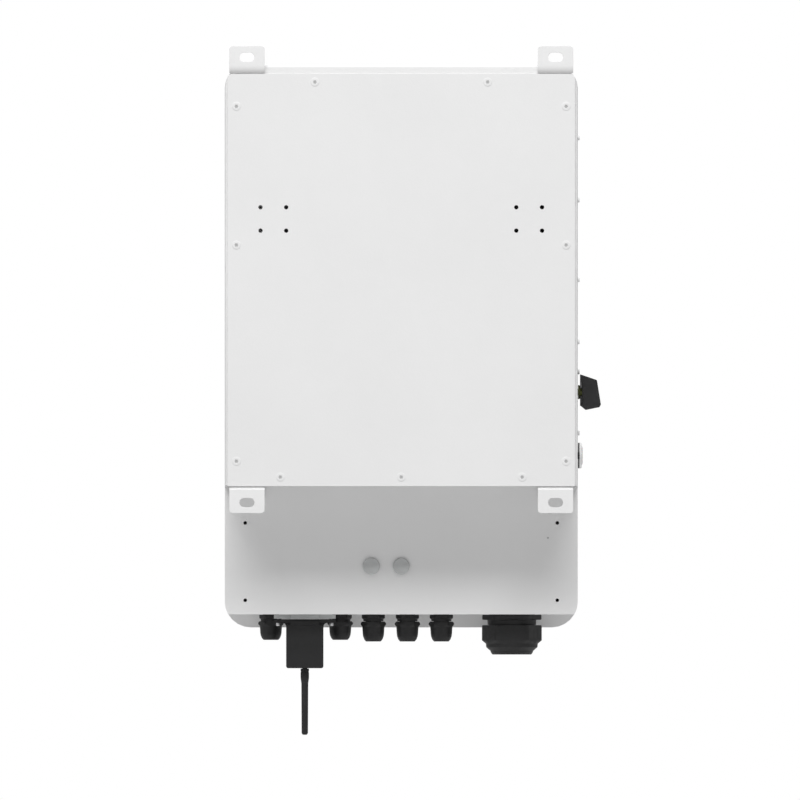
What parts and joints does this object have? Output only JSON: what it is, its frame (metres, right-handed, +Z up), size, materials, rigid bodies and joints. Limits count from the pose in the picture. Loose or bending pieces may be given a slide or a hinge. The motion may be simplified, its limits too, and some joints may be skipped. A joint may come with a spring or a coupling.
{
  "type": "string inverter",
  "caption": "Wall-hung hybrid string inverter: white case with rear air duct, hanging lugs, display, side DC switch, cable glands and plug-in data logger.",
  "frame": {"origin": "centre of the pattern of four hanging slots, on the wall plane", "axes": "+Z up, +Y into the wall; the front looks along -Y, so the DC switch is on the -X side"},
  "size_m": [0.4476, 0.2342, 0.8198],
  "materials": {
    "white_paint": "white powder coat, fine texture, semi-matt",
    "plate_paint": "white powder coat on the flat back plate",
    "breather_plastic": "light grey moulded plastic",
    "bare_aluminium": "extruded, unpainted",
    "steel": "zinc-plated",
    "black_plastic": "black moulded nylon, fine grain",
    "fan_plastic": "black glass-filled plastic",
    "switch_plastic": "dark moulded plastic",
    "terminal_plastic": "grey moulded plastic",
    "grey_plastic": "grey moulded plastic",
    "olive_plastic": "dark olive moulded plastic",
    "silicone": "milky translucent silicone",
    "rubber": "closed-cell foam rubber",
    "board_green": "glass-fibre board with green solder mask",
    "capacitor_sleeve": "shrink sleeve",
    "copper_wire": "enamelled copper winding",
    "ferrite": "sintered core",
    "screen": "unlit liquid-crystal panel",
    "clear_plastic": "clear moulded plastic"
  },
  "bodies": {
    "enclosure": {"case_body": "white_paint", "duct_housing": "white_paint", "front_cover": "white_paint", "lug_upper_right": "white_paint", "lug_upper_left": "white_paint", "lug_lower_right": "white_paint", "lug_lower_left": "white_paint", "back_plate": "plate_paint", "breather_right": "breather_plastic", "breather_left": "breather_plastic", "heat_sink": "bare_aluminium", "logger_screw_right": "steel", "logger_screw_left": "steel", "logger_body": "black_plastic", "battery_gland_body": "black_plastic", "battery_gland_nut": "black_plastic", "gland_1_body": "black_plastic", "gland_1_nut": "black_plastic", "gland_2_body": "black_plastic", "gland_2_nut": "black_plastic", "gland_3_body": "black_plastic", "gland_3_nut": "black_plastic", "gland_4_body": "black_plastic", "gland_4_nut": "black_plastic", "gland_5_body": "black_plastic", "gland_5_nut": "black_plastic", "fan_frame_upper": "fan_plastic", "fan_frame_lower": "fan_plastic", "dc_switch_body": "switch_plastic", "power_button_switch": "switch_plastic", "ac_terminals": "terminal_plastic", "pv_terminals": "terminal_plastic", "battery_terminals": "terminal_plastic", "logger_socket": "grey_plastic", "power_button_ring": "grey_plastic", "dc_switch_collar": "olive_plastic", "front_cover_gasket": "rubber", "power_board": "board_green", "control_board": "board_green", "bus_capacitor_1": "capacitor_sleeve", "bus_capacitor_2": "capacitor_sleeve", "bus_capacitor_3": "capacitor_sleeve", "inductor_1": "copper_wire", "inductor_2": "copper_wire", "transformer": "ferrite", "display_module": "screen", "display_window": "clear_plastic", "indicator_lens": "clear_plastic"},
    "upper_fan": {"fan_rotor_upper": "fan_plastic"},
    "lower_fan": {"fan_rotor_lower": "fan_plastic"},
    "dc_switch": {"dc_switch_knob": "black_plastic", "dc_switch_shaft": "steel"},
    "power_button": {"power_button_cap": "silicone"},
    "escape_key": {"key_escape": "grey_plastic"},
    "up_key": {"key_up": "grey_plastic"},
    "down_key": {"key_down": "grey_plastic"},
    "enter_key": {"key_enter": "grey_plastic"},
    "wiring_lid": {"wiring_cover": "white_paint", "wiring_cover_gasket": "rubber"},
    "stick_antenna": {"antenna": "black_plastic"}
  },
  "joints": [
    {"name": "upper_fan_spin", "type": "hinge", "parent": "enclosure", "child": "upper_fan", "pos_m": [-0.1952, -0.0473, 0.132], "axis": [1, 0, 0], "continuous": true},
    {"name": "lower_fan_spin", "type": "hinge", "parent": "enclosure", "child": "lower_fan", "pos_m": [-0.1952, -0.0473, -0.0366], "axis": [1, 0, 0], "continuous": true},
    {"name": "dc_switch_turn", "type": "hinge", "parent": "enclosure", "child": "dc_switch", "pos_m": [-0.2127, -0.137, -0.1335], "axis": [-1, 0, 0], "range_deg": [0, 90]},
    {"name": "power_button_press", "type": "slide", "parent": "enclosure", "child": "power_button", "axis": [1, 0, 0], "range_m": [0, 0.002], "stiffness_N_per_m": 800, "springref_m": -0.001},
    {"name": "escape_key_press", "type": "slide", "parent": "enclosure", "child": "escape_key", "axis": [0, 1, 0], "range_m": [0, 0.0008], "stiffness_N_per_m": 1500, "springref_m": -0.0005},
    {"name": "up_key_press", "type": "slide", "parent": "enclosure", "child": "up_key", "axis": [0, 1, 0], "range_m": [0, 0.0008], "stiffness_N_per_m": 1500, "springref_m": -0.0005},
    {"name": "down_key_press", "type": "slide", "parent": "enclosure", "child": "down_key", "axis": [0, 1, 0], "range_m": [0, 0.0008], "stiffness_N_per_m": 1500, "springref_m": -0.0005},
    {"name": "enter_key_press", "type": "slide", "parent": "enclosure", "child": "enter_key", "axis": [0, 1, 0], "range_m": [0, 0.0008], "stiffness_N_per_m": 1500, "springref_m": -0.0005},
    {"name": "wiring_lid_lift", "type": "slide", "parent": "enclosure", "child": "wiring_lid", "axis": [0, -1, 0], "range_m": [0, 0.12]},
    {"name": "antenna_swivel", "type": "hinge", "parent": "enclosure", "child": "stick_antenna", "pos_m": [0.1148, -0.117, -0.4622], "axis": [0, 0, 1], "range_deg": [-180, 180]}
  ]
}
